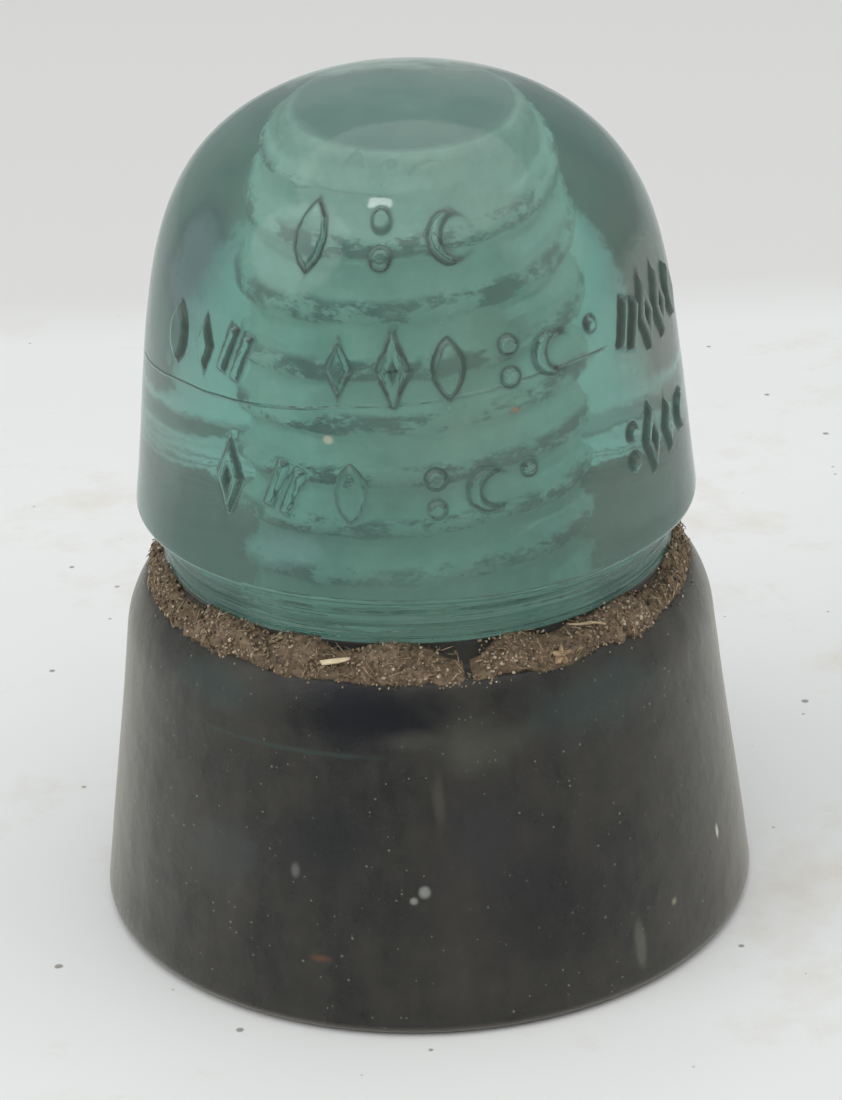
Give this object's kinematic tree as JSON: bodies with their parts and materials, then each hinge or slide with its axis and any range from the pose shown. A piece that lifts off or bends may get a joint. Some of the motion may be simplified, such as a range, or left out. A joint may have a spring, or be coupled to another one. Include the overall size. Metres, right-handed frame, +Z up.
{
  "type": "pin insulator",
  "caption": "Moulded glass pin insulator with a domed crown, wire groove, flared skirt, inner petticoat and threaded pin hole, with soot under the skirt and dirt in the groove.",
  "frame": {"origin": "centre of the skirt's rim, on the plane that it stands on", "axes": "+Z up the axis of the crown and the pin hole; -Y is the front of the raised marks"},
  "size_m": [0.0826, 0.0824, 0.1058],
  "materials": {
    "aqua_glass": "clear aqua glass, weathered satin on the skirt",
    "soot": "dull soot crust",
    "packed_dirt": "dry granular earth",
    "straw": "dry pale straw",
    "twig": "dry bark",
    "husk": "dry papery husk",
    "grit": "dull mineral grains"
  },
  "bodies": {
    "root": {"glass_body": "aqua_glass", "skirt_soot_lining": "soot", "groove_dirt_left": "packed_dirt", "groove_dirt_right": "packed_dirt", "groove_dirt_rear": "packed_dirt", "straw_sliver": "straw", "twig_bit": "twig", "husk_bit": "husk", "grit_crumbs": "grit"}
  },
  "joints": []
}
